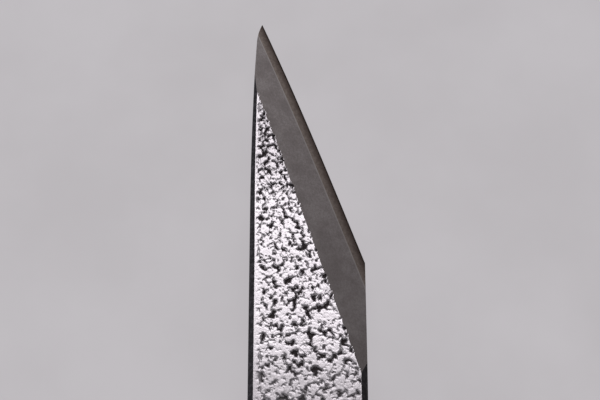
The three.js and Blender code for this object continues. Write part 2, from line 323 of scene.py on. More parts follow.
def lumps(x, y, seed):
    """A field of rounded lumps that run together, 1 at an average top, for lumps about 1 apart."""
    random = np.random.default_rng(seed)
    size = Noise.LATTICE
    shift = random.uniform(-LUMP_JITTER, LUMP_JITTER, (2, size, size))
    top = random.uniform(*LUMP_TOPS, (size, size))
    steep = random.uniform(*LUMP_STEEPNESS, (size, size))
    column, row = np.floor(x).astype(int), np.floor(y).astype(int)
    total = np.zeros_like(x)
    for i in (-1, 0, 1):
        for j in (-1, 0, 1):
            at = (column + i) % size, (row + j) % size
            dx = x - (column + i + 0.5 + shift[0][at])
            dy = y - (row + j + 0.5 + shift[1][at])
            total += np.exp((top[at] - steep[at] * (dx**2 + dy**2)) / LUMP_BLEND)
    return LUMP_BLEND * np.log(total)


def skin(x, y):
    """Height of the forged skin, and how deep in a pit each point is from 0 to 1."""
    warp_x, warp_y = (
        sum(amount * noise(x / size, y / size) for amount, noise, size in zip(WARP, noises, WARP_SIZES))
        for noises in (WARP_X, WARP_Y)
    )
    size = LUMP_SIZE - LUMP_SHRINK * y
    across, along = (x + warp_x) / size, warp_y / size - np.log(size) / LUMP_SHRINK
    u = across * math.cos(LUMP_TURN) + along * math.sin(LUMP_TURN)
    v = along * math.cos(LUMP_TURN) - across * math.sin(LUMP_TURN)
    field = lumps(u, v, SKIN_SEED) + LUMP_ROUGH[0] * ROUGH[0](2 * u, 2 * v)
    field += LUMP_ROUGH[1] * ROUGH[1](4 * u, 4 * v)
    drift = DRIFT_AMOUNT * DRIFT(x / DRIFT_SIZE, y / DRIFT_SIZE)
    field += drift - TIP_PITTING * smooth(*TIP_PITTING_RANGE, y)
    crinkles = lumps(u / CRINKLE_SIZE, v / CRINKLE_SIZE, SKIN_SEED + 1)
    field = np.minimum(field, crinkles + CRINKLE_LEVEL + CRINKLE_FADE * smooth(*CRINKLE_FADE_RANGE, y))

    soft = smooth(*SOFT_RANGE, y)
    softness = PIT_SOFTNESS * (1 + soft)
    slope = PIT_SLOPE * (1 - SOFT_SHALLOW * soft)
    drop = slope * softness * np.log(np.exp(-(field - PIT_LEVEL) / softness) + 1)
    grain = SKIN_DOME * field + SKIN_GRAIN * GRAIN(x / SKIN_GRAIN_SIZE, y / SKIN_GRAIN_SIZE)
    pit = smooth(*PIT_DARK_RANGE, field) * (1 - SOFT_PALE * soft)
    return -PIT_FLOOR * np.tanh(drop / PIT_FLOOR) + grain - SKIN_DOME, pit


# ---------------------------------------------------------------- meshes


def row_bmesh(points, faces):
    """A bmesh in the row's metres, from points in the knife's millimetres."""
    mesh = bpy.data.meshes.new("work")
    mesh.from_pydata(row_points(points).tolist(), [], faces)
    made = bmesh.new()
    made.from_mesh(mesh)
    bpy.data.meshes.remove(mesh)
    return made


def piece(node, made, materials):
    """Makes the bmesh a visible piece that stands for a CAD node."""
    mesh = bpy.data.meshes.new(node)
    made.to_mesh(mesh)
    made.free()
    mesh.shade_smooth()
    obj = bpy.data.objects.new(f"{node}_finished", mesh)
    bpy.context.scene.collection.objects.link(obj)
    for finish in materials:
        mesh.materials.append(finish)
    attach(obj, BODY)
    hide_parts(node)
    return obj


def loft_faces(rows, columns, regions):
    """Quads between neighbouring closed rings, with each quad's region."""
    faces, marks = [], []
    for r in range(rows - 1):
        start, following = r * columns, (r + 1) * columns
        for c in range(columns):
            d = (c + 1) % columns
            faces.append((start + c, following + c, following + d, start + d))
            marks.append(regions[c])
    return faces, marks


def closed_loft(rings, regions, attributes=(), cap_region=0):
    """One closed bmesh through rings of points that stand across the knife.

    regions has the material slot of each column of quads, and attributes the name and values of each
    measure that the materials read at the points."""
    rows, columns, _ = rings.shape
    faces, marks = loft_faces(rows, columns, regions)
    faces.append(tuple(range(columns)))
    faces.append(tuple((rows - 1) * columns + c for c in reversed(range(columns))))
    marks += [cap_region, cap_region]
    made = row_bmesh(rings.reshape(-1, 3), faces)
    made.faces.ensure_lookup_table()
    for face, mark in zip(made.faces, marks):
        face.material_index = mark
    for name, values in attributes:
        layer = made.verts.layers.float.new(name)
        for vert, value in zip(made.verts, values.reshape(-1).tolist()):
            vert[layer] = value
    bmesh.ops.remove_doubles(made, verts=made.verts, dist=MERGE_DISTANCE)
    bmesh.ops.dissolve_degenerate(made, dist=TINY, edges=made.edges)
    return made


def crease_regions(obj):
    """Keeps the edges between the different regions of a smooth mesh crisp."""
    made = bmesh.new()
    made.from_mesh(obj.data)
    for line in made.edges:
        regions = {face.material_index for face in line.link_faces}
        line.smooth = len(regions) == 1
    made.to_mesh(obj.data)
    made.free()


def between(a, b, count):
    """count points from each a towards each b, without b. a and b are arrays of x, z pairs."""
    t = np.arange(count)[None, :, None] / count
    return a[:, None, :] * (1 - t) + b[:, None, :] * t


def pairs(x, z):
    """Points across the section at each station, from arrays or numbers."""
    return np.stack(np.broadcast_arrays(x, z), axis=-1)


def joined(strips):
    """A closed section at each station from (start, end, columns, region) strips, and its regions."""
    section = np.concatenate([between(a, b, count) for a, b, count, _ in strips], axis=1)
    return section, [region for _, _, count, region in strips for _ in range(count)]


def standing(section, y):
    """Sections of x, z pairs as rings of points, each at its own y."""
    ys = np.repeat(y[:, None], section.shape[1], axis=1)
    return np.stack([section[..., 0], ys, section[..., 1]], -1)


# ---------------------------------------------------------------- blade

FRONT, BEVEL, SIDE, FLUSH, HIDDEN = range(5)


def bevel_line(y):
    """The main bevel's top and bottom points at each y, ignoring the blade's width."""
    face_z = front_height(y)
    top = pairs(edge_x(y) - face_z / BEVEL_RISE, face_z)
    return top, pairs(edge_x(y) - MICRO_BEVEL_WIDTH, MICRO_BEVEL_HEIGHT)


def on_bevel(y, x):
    """Height of the ground bevels at x, and how steeply the main one falls towards the edge."""
    top, bottom = bevel_line(y)
    slope = (top[:, 1] - bottom[:, 1]) / (bottom[:, 0] - top[:, 0])
    main = bottom[:, 1] + (bottom[:, 0] - x) * slope
    micro = (edge_x(y) - x) * MICRO_BEVEL_HEIGHT / MICRO_BEVEL_WIDTH
    return np.where(x > bottom[:, 0], micro, main), slope


def bevel_at(y, z, slope):
    """Where across the blade the main bevel is z high."""
    return edge_x(y) - MICRO_BEVEL_WIDTH - (z - MICRO_BEVEL_HEIGHT) / slope


def weld_height(y):
    """Height of the weld between the soft iron and the hard steel, which thins out to its rear end."""
    return STEEL_THICKNESS * np.clip((y - STEEL_END + STEEL_SCARF) / STEEL_SCARF, 0, 1)


def body_strips(y):
    """The soft iron's section at each y without its skin, as strips, and the front face's two edges: the
    land beside the spine's chamfer and the ridge where the bevel starts."""
    on_blade = y >= BOLSTER_FRONT
    sides = handle_sides(np.minimum(y, BOLSTER_FRONT))
    left = np.where(on_blade, spine_x(y), sides[0])
    right_limit = np.where(on_blade, HALF_WIDTH, sides[1])
    face_z = front_height(y)
    bottom = weld_height(y)
    _, slope = on_bevel(y, left)
    right = np.minimum(right_limit, bevel_at(y, bottom, slope))
    right = np.maximum(right, left)

    run_out = smooth(*CHAMFER_RUN_OUT, y)
    taper = 1 - SPINE_CHAMFER_TAPER * np.clip(y / HOLLOW_END, 0, 1)
    spine_width, spine_depth = (size * run_out * taper for size in SPINE_CHAMFER)
    edge_width, edge_depth = (size * run_out for size in EDGE_CHAMFER)
    spine_slope = SPINE_CHAMFER[1] / SPINE_CHAMFER[0]
    edge_slope = EDGE_CHAMFER[1] / EDGE_CHAMFER[0]

    # Where the spine's chamfer gives way to the front face, or to the bevel nearer the tip.
    meets_bevel = left + (on_bevel(y, left)[0] - face_z + spine_depth) / (slope + spine_slope)
    land_x = np.clip(np.minimum(left + spine_width, meets_bevel), left, right)
    land_z = np.minimum(face_z - spine_depth + (land_x - left) * spine_slope, on_bevel(y, land_x)[0])
    left_z = np.minimum(face_z - spine_depth, on_bevel(y, left)[0])

    # Where the front face gives way to the bevel, or to the edge side's chamfer nearer the handle.
    wave = RIDGE_WAVE * skin(bevel_at(y, face_z, slope), y)[0]
    wave *= smooth(BOLSTER_FRONT, BOLSTER_FRONT + RIDGE_RUN_OUT, y)
    wavy_x = bevel_at(y, face_z + wave, slope)
    chamfer_start = right_limit - edge_width
    ridge_x = np.clip(np.minimum(wavy_x, chamfer_start), land_x, right)
    ridge_z = np.where(wavy_x < chamfer_start, face_z + wave, face_z)
    ridge_z = np.where(ridge_x <= land_x, land_z, ridge_z)

    # Where the bevel gives way to that chamfer.
    drop_left = on_bevel(y, right_limit)[0] - (face_z - edge_depth)
    crossing = right_limit - drop_left / (edge_slope - slope)
    corner_x = np.where(wavy_x < chamfer_start, np.clip(crossing, chamfer_start, right), ridge_x)
    corner_x = np.clip(np.maximum(corner_x, ridge_x), left, right)
    corner_z = np.where(corner_x > ridge_x, on_bevel(y, corner_x)[0], ridge_z)
    right_z = np.maximum(np.minimum(on_bevel(y, right)[0], face_z - edge_depth), bottom)
    corner_z = np.where(corner_x >= right, right_z, corner_z)

    strips = [
        (pairs(left, bottom), pairs(right, bottom), WELD_COLUMNS, HIDDEN),
        (pairs(right, bottom), pairs(right, right_z), 1, SIDE),
        (pairs(right, right_z), pairs(corner_x, corner_z), CHAMFER_COLUMNS, SIDE),
        (pairs(corner_x, corner_z), pairs(ridge_x, ridge_z), BEVEL_COLUMNS, BEVEL),
        (pairs(ridge_x, ridge_z), pairs(land_x, land_z), SKIN_COLUMNS, FRONT),
        (pairs(land_x, land_z), pairs(left, left_z), CHAMFER_COLUMNS, SIDE),
        (pairs(left, left_z), pairs(left, bottom), 1, SIDE),
    ]
    return strips, (land_x, land_z), (ridge_x, ridge_z)


def body_rings(y):
    """The soft iron's rings with the skin on the front face, their regions, and how deep in a pit each
    point is, from 0 to 1."""
    strips, spine_side, bevel_side = body_strips(y)
    section, regions = joined(strips)
    front = slice(regions.index(FRONT), regions.index(FRONT) + SKIN_COLUMNS)
    x = section[:, front, 0]
    ys = np.repeat(y[:, None], SKIN_COLUMNS, axis=1)
    height, pit = skin(x, ys)
    land_x, land_z, ridge_x, ridge_z = (value[:, None] for value in (*spine_side, *bevel_side))
    near_bevel = 1 - smooth(0, BEVEL_MARGIN, ridge_x - x)
    margin = SKIN_MARGIN * (1 + smooth(*SKIN_MARGIN_DOUBLES, ys))
    held = smooth(0, 1, (x - land_x) / margin) * smooth(BOLSTER_FRONT, BOLSTER_FRONT + BOLSTER_MARGIN, ys)
    held *= smooth(0, SKIN_MARGIN, ridge_x - land_x)
    section[:, front, 1] = land_z + (ridge_z - land_z) * near_bevel + height * (1 - near_bevel) * held
    pits = np.zeros(section.shape[:2])
    pits[:, front] = pit * held
    return standing(section, y), regions, pits


def body_stations():
    """Where along the knife the soft iron's rings stand, closest together on the skin."""
    ys = np.linspace(SKIN_END, TIP_REACH, SEARCH_STATIONS)
    reach = bevel_at(ys, STEEL_THICKNESS, on_bevel(ys, ys * 0)[1])
    end = float(np.interp(0, spine_x(ys) - reach, ys))  # where the bevel is down to the weld at the spine
    butt = BUTT + BUTT_CORNER * (1 - np.cos(np.linspace(0, np.pi / 2, BUTT_STATIONS)))
    grip = np.linspace(BUTT + BUTT_CORNER, BOLSTER_FRONT, GRIP_STATIONS)
    textured = np.arange(BOLSTER_FRONT, SKIN_END, SKIN_PITCH)
    plain = np.linspace(SKIN_END, end, NOSE_STATIONS)
    scarf = [STEEL_END - STEEL_SCARF, STEEL_END, 0.0]
    return np.unique(np.round(np.concatenate([butt, grip, textured, plain, scarf]), STATION_DIGITS))


def hollow_depth(y):
    """Depth of the hollow in the blade's back, along its middle."""
    end_distance = np.minimum(y - HOLLOW_START, HOLLOW_END - y)
    return HOLLOW_DEPTH * smooth(0, HOLLOW_RUN_OUT, end_distance)


STEEL_FACE, STEEL_BACK, STEEL_SIDE, STEEL_HIDDEN = range(4)


def steel_rings(y):
    """The hard steel's rings with the hollow in its back, their regions, and the share of the hollow's
    depth at each point."""
    left = spine_x(y)
    apex = np.minimum(edge_x(y), HALF_WIDTH)
    top = weld_height(y)
    _, slope = on_bevel(y, left)
    apex_z = np.clip(on_bevel(y, apex)[0], 0, top)
    shoulder = np.clip(edge_x(y) - MICRO_BEVEL_WIDTH, left, HALF_WIDTH)
    shoulder_z = np.minimum(on_bevel(y, shoulder)[0], top)
    weld = np.clip(bevel_at(y, top, slope), left, HALF_WIDTH)
    weld_z = np.minimum(on_bevel(y, weld)[0], top)
    left_z = np.minimum(on_bevel(y, left)[0], top)
    strips = [
        (pairs(left, 0), pairs(apex, 0), BACK_COLUMNS, STEEL_BACK),
        (pairs(apex, 0), pairs(apex, apex_z), 1, STEEL_SIDE),
        (pairs(apex, apex_z), pairs(shoulder, shoulder_z), MICRO_BEVEL_COLUMNS, STEEL_FACE),
        (pairs(shoulder, shoulder_z), pairs(weld, weld_z), STEEL_FACE_COLUMNS, STEEL_FACE),
        (pairs(weld, weld_z), pairs(left, left_z), 1, STEEL_HIDDEN),
        (pairs(left, left_z), pairs(left, 0), 1, STEEL_SIDE),
    ]
    section, regions = joined(strips)
    back = slice(0, BACK_COLUMNS)
    x = section[:, back, 0]
    inner, outer = (left + HOLLOW_RIM)[:, None], (apex - HOLLOW_RIM)[:, None]
    way = np.clip((x - inner) / np.maximum(outer - inner, NARROWEST), 0, 1)
    section[:, back, 1] = 4 * hollow_depth(y)[:, None] * way * (1 - way)
    ground = np.zeros(section.shape[:2])
    ground[:, back] = section[:, back, 1] / HOLLOW_DEPTH
    return standing(section, y), regions, ground


def steel_stations():
    """Where along the knife the hard steel's rings stand. Its thin rear end is left a hair thick."""
    base = np.arange(STEEL_END - STEEL_SCARF + STEEL_END_MARGIN, HOLLOW_END, BACK_PITCH)
    nose = np.linspace(HOLLOW_END, TIP_REACH, STEEL_NOSE_STATIONS)
    corners = [STEEL_END, -MICRO_BEVEL_WIDTH, 0.0]
    return np.unique(np.round(np.concatenate([base, nose, corners]), STATION_DIGITS))


# ---------------------------------------------------------------- holes


def lathe(profile, x, y, segments=ROUND_SEGMENTS):
    """A round closed bmesh about an upright axis, from (radius, height) points that start and end on it."""
    radii, heights = np.array(profile).T
    angles = np.arange(segments) * 2 * np.pi / segments
    points = np.stack(
        [
            x + radii[:, None] * np.cos(angles),
            y + radii[:, None] * np.sin(angles),
            np.repeat(heights[:, None], segments, axis=1),
        ],
        -1,
    )
    faces, _ = loft_faces(len(profile), segments, [0] * segments)
    made = row_bmesh(points.reshape(-1, 3), faces)
    bmesh.ops.remove_doubles(made, verts=made.verts, dist=TINY)
    bmesh.ops.recalc_face_normals(made, faces=made.faces)
    return made


def cylinder_profile(radius, low, high):
    return [(0, low), (radius, low), (radius, high), (0, high)]


def cut(obj, profiles):
    """Cuts round holes through a piece. profiles are (profile, x, y)."""
    for profile, x, y in profiles:
        made = lathe(profile, x, y, HOLE_SEGMENTS)
        mesh = bpy.data.meshes.new("cutter")
        made.to_mesh(mesh)
        made.free()
        cutter = bpy.data.objects.new("cutter", mesh)
        bpy.context.scene.collection.objects.link(cutter)
        modifier = obj.modifiers.new("hole", "BOOLEAN")
        modifier.operation = "DIFFERENCE"
        modifier.solver = "MANIFOLD"
        modifier.object = cutter
        bpy.context.view_layer.update()
        evaluated = obj.evaluated_get(bpy.context.evaluated_depsgraph_get())
        result = bpy.data.meshes.new_from_object(evaluated)
        obj.modifiers.clear()
        old, obj.data = obj.data, result
        result.name = old.name
        bpy.data.meshes.remove(old)
        bpy.data.objects.remove(cutter)
        bpy.data.meshes.remove(mesh)


def pin_hole_profiles():
    radius = PIN_RADIUS + CLEARANCE
    profile = cylinder_profile(radius, HANDLE_BOTTOM - BEYOND, HANDLE_TOP + BEYOND)
    return [(profile, side * PIN_SPREAD, PIN_Y) for side in (-1, 1)]


def rivet_hole_profiles():
    stem = SLEEVE_RADIUS + CLEARANCE
    head = RIVET_HEAD_RADIUS + CLEARANCE
    sink = RIVET_HEAD_HEIGHT + CLEARANCE
    profile = [
        (0, HANDLE_BOTTOM - BEYOND),
        (head, HANDLE_BOTTOM - BEYOND),
        (head, HANDLE_BOTTOM + sink),
        (stem, HANDLE_BOTTOM + sink),
        (stem, HANDLE_TOP - sink),
        (head, HANDLE_TOP - sink),
        (head, HANDLE_TOP + BEYOND),
        (0, HANDLE_TOP + BEYOND),
    ]
    return [(profile, 0.0, y) for y in RIVET_POSITIONS.values()]


# ---------------------------------------------------------------- handle

TOP_INSET = 0.4


def inset(curve, distance):
    """The curve moved inward. It runs clockwise seen from above."""
    along = np.gradient(curve, axis=0)
    along /= np.linalg.norm(along, axis=1)[:, None]
    return curve + distance * np.stack([along[:, 1], -along[:, 0]], axis=1)


def grip_curve():
    """The handle's outline behind the bolsters."""
    behind = OUTLINE[OUTLINE[:, 1] < BOLSTER_BACK]
    left, right = handle_sides(np.array([BOLSTER_BACK]))
    return np.concatenate([[(right[0], BOLSTER_BACK)], behind, [(left[0], BOLSTER_BACK)]])


def slab(levels, face, outward):
    """A closed piece of the grip from (inset, height above the tang's face) levels."""
    base = grip_curve()
    curves = []
    for distance, h in levels:
        curve = inset(base, distance)
        curve[[0, -1], 1] = BOLSTER_BACK
        z = np.full((len(curve), 1), face + outward * h)
        curves.append(np.concatenate([curve, z], axis=1))
    count = len(base)
    faces = []
    for level in range(len(curves) - 1):
        low, high = level * count, (level + 1) * count
        faces += [(low + i, low + i + 1, high + i + 1, high + i) for i in range(count - 1)]
    last = (len(curves) - 1) * count
    faces.append(tuple(range(count)))
    faces.append(tuple(last + i for i in range(count)))
    ends = [level * count for level in range(len(curves))]
    faces.append(tuple(ends) + tuple(e + count - 1 for e in reversed(ends)))
    made = row_bmesh(np.concatenate(curves), faces)
    bmesh.ops.recalc_face_normals(made, faces=made.faces)
    return made


def scale_levels():
    """A scale's levels: an upright wall, a quarter round, and a flat that is put in from it."""
    rounding = [
        (ROUNDING_WIDTH * (1 - math.cos(a)), SIDE_WALL + ROUNDING_HEIGHT * math.sin(a))
        for a in np.linspace(0, math.pi / 2, ROUNDING_STEPS)
    ]
    return [(0, LINER_THICKNESS), *rounding, (ROUNDING_WIDTH + TOP_INSET, SIDE_HEIGHT)]


def bolster_rows():
    """Distances behind the bolster's front, and the height of its top there: a curved ramp, then flat."""
    rows = []
    for t in np.linspace(0, 1, RAMP_STEPS):
        back = 2 * (1 - t) * t * BOLSTER_RAMP_PULL * BOLSTER_RAMP + t**2 * BOLSTER_RAMP
        top = (1 - t) ** 2 * BOLSTER_NOSE_HEIGHT + (1 - (1 - t) ** 2) * SIDE_HEIGHT
        rows.append((back, top))
    flat = np.linspace(BOLSTER_RAMP, BOLSTER_LENGTH, FLAT_STEPS)[1:]
    return rows + [(back, SIDE_HEIGHT) for back in flat]


def bolster(face, outward):
    """One bolster, ramped at the front and rounded along both sides."""
    rings = []
    angles = np.linspace(0, math.pi / 2, ROUNDING_STEPS)
    for back, top in bolster_rows():
        y = BOLSTER_FRONT - back
        left, right = (float(side[0]) for side in handle_sides(np.array([y])))
        insets = ROUNDING_WIDTH * (1 - np.cos(angles))
        heights = SIDE_WALL + (top - SIDE_WALL) * np.sin(angles)
        ring = [(left, 0), (right, 0)]
        ring += [(right - i, h) for i, h in zip(insets, heights)]
        flat = np.linspace(right - ROUNDING_WIDTH, left + ROUNDING_WIDTH, TOP_STEPS)[1:-1]
        ring += [(x, top) for x in flat]
        ring += [(left + i, h) for i, h in zip(insets[::-1], heights[::-1])]
        rings.append([(x, y, face + outward * h) for x, h in ring])
    rings = np.array(rings)
    made = closed_loft(rings, [0] * rings.shape[1])
    bmesh.ops.recalc_face_normals(made, faces=made.faces)
    return made


# ---------------------------------------------------------------- materials


class Finish:
    """Builds one node material. Its methods take and give sockets, numbers or colours."""

    def __init__(self, name):
        self.material = bpy.data.materials.new(name)
        self.material.use_nodes = True
        self.tree = self.material.node_tree
        self.shader = self.tree.nodes["Principled BSDF"]
        self.where = self.add("ShaderNodeTexCoord").outputs["Object"]

    def add(self, kind, inputs=None, **settings):
        node = self.tree.nodes.new(kind)
        for key, value in settings.items():
            setattr(node, key, value)
        for key, value in (inputs or {}).items():
            self.feed(node.inputs[key], value)
        return node

    def feed(self, socket, value):
        if isinstance(value, bpy.types.NodeSocket):
            self.tree.links.new(value, socket)
        else:
            socket.default_value = value

    def noise(self, size_mm, detail=4.0, roughness=0.55, stretch=(1, 1, 1)):
        """Noise whose features are about size_mm across, longer along the axes with a larger stretch."""
        scale = [METRE / (size_mm * s) for s in stretch]
        moved = self.add("ShaderNodeMapping", {"Vector": self.where, "Scale": scale})
        inputs = {"Vector": moved.outputs[0], "Scale": 1.0, "Detail": detail, "Roughness": roughness}
        return self.add("ShaderNodeTexNoise", inputs).outputs["Fac"]

    def ramp(self, value, low, high, at_low=0.0, at_high=1.0):
        keys = {"Value": value, "From Min": low, "From Max": high, "To Min": at_low, "To Max": at_high}
        return self.add("ShaderNodeMapRange", keys, interpolation_type="SMOOTHSTEP").outputs[0]

    def maths(self, operation, a, b=0.0):
        return self.add("ShaderNodeMath", {0: a, 1: b}, operation=operation).outputs[0]

    def mix(self, factor, a, b):
        node = self.add("ShaderNodeMix", data_type="RGBA")
        colours = [s for s in node.inputs if s.type == "RGBA"]
        self.feed(node.inputs[0], factor)
        self.feed(colours[0], a)
        self.feed(colours[1], b)
        return next(s for s in node.outputs if s.type == "RGBA")

    def attribute(self, name):
        return self.add("ShaderNodeAttribute", attribute_name=name).outputs["Fac"]

    def place(self, axis):
        """Where each point is along X, Y or Z of the knife's own frame, in millimetres."""
        metres = self.add("ShaderNodeSeparateXYZ", {0: self.where}).outputs[axis]
        shift = float(ROW_SHIFT["XYZ".index(axis)])
        return self.maths("SUBTRACT", self.maths("MULTIPLY", metres, METRE), shift)

    def bump(self, value, depth_mm):
        keys = {"Height": value, "Distance": depth_mm * MM, "Strength": 1.0}
        self.feed(self.shader.inputs["Normal"], self.add("ShaderNodeBump", keys).outputs[0])

    def set(self, **values):
        for key, value in values.items():
            self.feed(self.shader.inputs[key.replace("_", " ")], value)
        return self.material


def grey(level, warmth=0.0):
    """A grey with its red raised and its blue lowered by the warmth."""
    return (level * (1 + warmth), level, level * (1 - warmth), 1.0)


def forged_skin():
    """Bright lumps and dark pits. Towards the handle the skin is darker, as painted shade, and a little
    rougher; towards the tip it is darker and rougher.
    """
    f = Finish("forged_skin")
    pit = f.ramp(f.attribute("pit"), 0.3, 0.9)
    grain = f.noise(0.35, 3)
    # Painted shade: the skin's colour is darkened towards the handle, where its flats would reflect less
    # light.
    painted_shade_near_handle = f.ramp(f.place("Y"), *SOFT_RANGE)
    dull_above = f.ramp(f.place("Y"), *TIP_DULL_RANGE, 0.0, TIP_DULLNESS)
    painted_shade_and_dulling = f.maths("MAXIMUM", painted_shade_near_handle, dull_above)
    # This darkening mixes the painted shade near the handle with the darker, rougher tip.
    colour = f.mix(painted_shade_and_dulling, (0.70, 0.652, 0.692, 1), (0.59, 0.548, 0.582, 1))
    colour = f.mix(pit, colour, (0.042, 0.034, 0.036, 1))
    colour = f.mix(f.ramp(grain, 0.55, 0.8, 0.0, 0.5), colour, grey(0.25, 0.02))
    f.bump(grain, 0.03)
    roughness = f.maths("MAXIMUM", f.ramp(pit, 0, 1, 0.3, 0.6), f.ramp(painted_shade_and_dulling, 0, 1, 0.3, 0.36))
    return f.set(Base_Color=colour, Metallic=1.0, Roughness=roughness)


def bevel_haze():
    """Stone-ground soft iron, clouded, with a pale line where it thins out at the weld."""
    f = Finish("bevel_haze")
    haze = f.noise(0.5, 4, 0.8)
    clouds = f.noise(4.5, 4, 0.55)
    scratches = f.noise(0.12, 3, 0.6, (1, 30, 1))
    wander = f.maths("MULTIPLY", f.noise(2.5, 3), 0.12)
    height = f.maths("SUBTRACT", f.place("Z"), wander)
    near_weld = f.ramp(height, STEEL_THICKNESS + 0.1, STEEL_THICKNESS - 0.05)
    colour = f.mix(f.ramp(clouds, 0.35, 0.65), (0.30, 0.265, 0.265, 1), (0.40, 0.36, 0.362, 1))
    colour = f.mix(f.ramp(haze, 0.38, 0.62, 0.0, 0.45), colour, (0.20, 0.177, 0.175, 1))
    colour = f.mix(f.ramp(scratches, 0.4, 0.62, 0.0, 0.25), colour, (0.18, 0.158, 0.155, 1))
    colour = f.mix(f.maths("MULTIPLY", near_weld, 0.45), colour, (0.62, 0.58, 0.57, 1))
    f.bump(scratches, 0.004)
    return f.set(Base_Color=colour, Metallic=1.0, Roughness=f.ramp(haze, 0.3, 0.7, 0.34, 0.42))


def hard_steel():
    """Darker, browner steel, darkest at the second bevel."""
    f = Finish("hard_steel")
    haze = f.noise(0.6, 4, 0.7)
    scratches = f.noise(0.1, 3, 0.6, (1, 30, 1))
    towards_edge = f.ramp(f.place("Z"), STEEL_THICKNESS, 0.1)
    micro = f.ramp(f.place("Z"), MICRO_BEVEL_HEIGHT + 0.03, MICRO_BEVEL_HEIGHT - 0.02)
    colour = f.mix(f.ramp(haze, 0.35, 0.65), (0.235, 0.19, 0.172, 1), (0.325, 0.272, 0.247, 1))
    colour = f.mix(f.maths("MULTIPLY", towards_edge, 0.9), colour, (0.085, 0.06, 0.052, 1))
    colour = f.mix(micro, colour, (0.04, 0.03, 0.025, 1))
    f.bump(scratches, 0.003)
    return f.set(Base_Color=colour, Metallic=1.0, Roughness=f.ramp(haze, 0.3, 0.7, 0.3, 0.38))


def ground_back():
    """A flat back rubbed bright on its rims, with a duller hollow."""
    f = Finish("ground_back")
    lines = f.noise(0.15, 4, 0.6, (30, 1, 1))
    hollow = f.ramp(f.attribute("ground"), 0.02, 0.12)
    colour = f.mix(f.noise(3, 4), grey(0.52, 0.02), grey(0.62, 0.02))
    colour = f.mix(hollow, colour, grey(0.30, 0.03))
    f.bump(lines, 0.006)
    return f.set(Base_Color=colour, Metallic=1.0, Roughness=f.ramp(hollow, 0, 1, 0.24, 0.4))


def forge_scale():
    """Black scale left by the fire, with painted shade darkening it further on the cutting edge's side."""
    f = Finish("forge_scale")
    patches = f.noise(0.8, 5, 0.6)
    colour = f.mix(f.ramp(patches, 0.42, 0.7), (0.018, 0.016, 0.020, 1), (0.08, 0.073, 0.087, 1))
    # Painted shade: the cutting edge's side is darkened, standing in for the side that the lamps light
    # less.
    edge_side = f.ramp(f.place("X"), -2, 2, 0.0, 0.55)
    colour = f.mix(edge_side, colour, (0.010, 0.007, 0.006, 1))
    f.bump(patches, 0.04)
    return f.set(Base_Color=colour, Metallic=0.4, Roughness=f.ramp(patches, 0.3, 0.7, 0.5, 0.68))


def satin_steel(name, level, stretch, roughness, relief=0.004):
    """Steel with a fine grain along one axis, where stretch is largest."""
    f = Finish(name)
    lines = f.noise(0.12, 4, 0.6, stretch)
    cloud = f.noise(4, 3)
    colour = f.mix(cloud, grey(level, 0.01), grey(level * 1.12, 0.01))
    f.bump(lines, relief)
    sheen = f.ramp(lines, 0.3, 0.7, roughness, roughness + 0.1)
    return f.set(Base_Color=colour, Metallic=1.0, Roughness=sheen)


def vulcanised_fibre():
    f = Finish("vulcanised_fibre")
    fibre = f.noise(0.3, 5, 0.6, (1, 6, 1))
    colour = f.mix(fibre, (0.018, 0.017, 0.016, 1), (0.04, 0.037, 0.034, 1))
    f.bump(fibre, 0.02)
    return f.set(Base_Color=colour, Roughness=f.ramp(fibre, 0.3, 0.7, 0.62, 0.75))


def hardwood():
    """Dark wood with bands and open pores along the handle."""
    f = Finish("hardwood")
    bands = f.noise(2.2, 4, 0.6, (1, 24, 1.4))
    fine = f.noise(0.35, 3, 0.6, (1, 30, 1))
    pores = f.ramp(f.noise(0.16, 2, 0.5, (1, 14, 1)), 0.62, 0.7)
    colour = f.mix(f.ramp(bands, 0.35, 0.65), (0.20, 0.092, 0.048, 1), (0.085, 0.036, 0.020, 1))
    colour = f.mix(f.ramp(fine, 0.3, 0.7, 0.0, 0.45), colour, (0.12, 0.05, 0.028, 1))
    colour = f.mix(f.maths("MULTIPLY", pores, 0.8), colour, (0.03, 0.014, 0.009, 1))
    f.bump(f.maths("SUBTRACT", f.maths("MULTIPLY", fine, 0.3), pores), 0.02)
    return f.set(Base_Color=colour, Roughness=f.ramp(pores, 0, 1, 0.38, 0.6))


SKIN = forged_skin()
HAZE = bevel_haze()
SCALE = forge_scale()
FLUSH_STEEL = satin_steel("flush_tang", 0.6, (1, 30, 1), 0.3)
HARD = hard_steel()
BACK = ground_back()
BOLSTER = satin_steel("satin_bolster", 0.62, (30, 1, 1), 0.26)
RIVET = satin_steel("polished_rivet", 0.7, (1, 12, 1), 0.2, 0.001)
FIBRE = vulcanised_fibre()
WOOD = hardwood()


# ---------------------------------------------------------------- assembly


def add_blade():
    rings, regions, pits = body_rings(body_stations())
    made = closed_loft(rings, regions, [("pit", pits)], cap_region=FLUSH)
    front = (BOLSTER_FRONT + ROW_SHIFT[1]) * MM
    for face in made.faces:
        if face.calc_center_median().y < front and face.material_index == SIDE:
            face.material_index = FLUSH
    blade = piece("blade_body", made, [SKIN, HAZE, SCALE, FLUSH_STEEL, BACK])
    cut(blade, pin_hole_profiles() + rivet_hole_profiles())
    crease_regions(blade)


def add_edge_steel():
    rings, regions, ground = steel_rings(steel_stations())
    made = closed_loft(rings, regions, [("ground", ground)], cap_region=STEEL_HIDDEN)
    crease_regions(piece("edge_steel", made, [HARD, BACK, SCALE, HARD]))


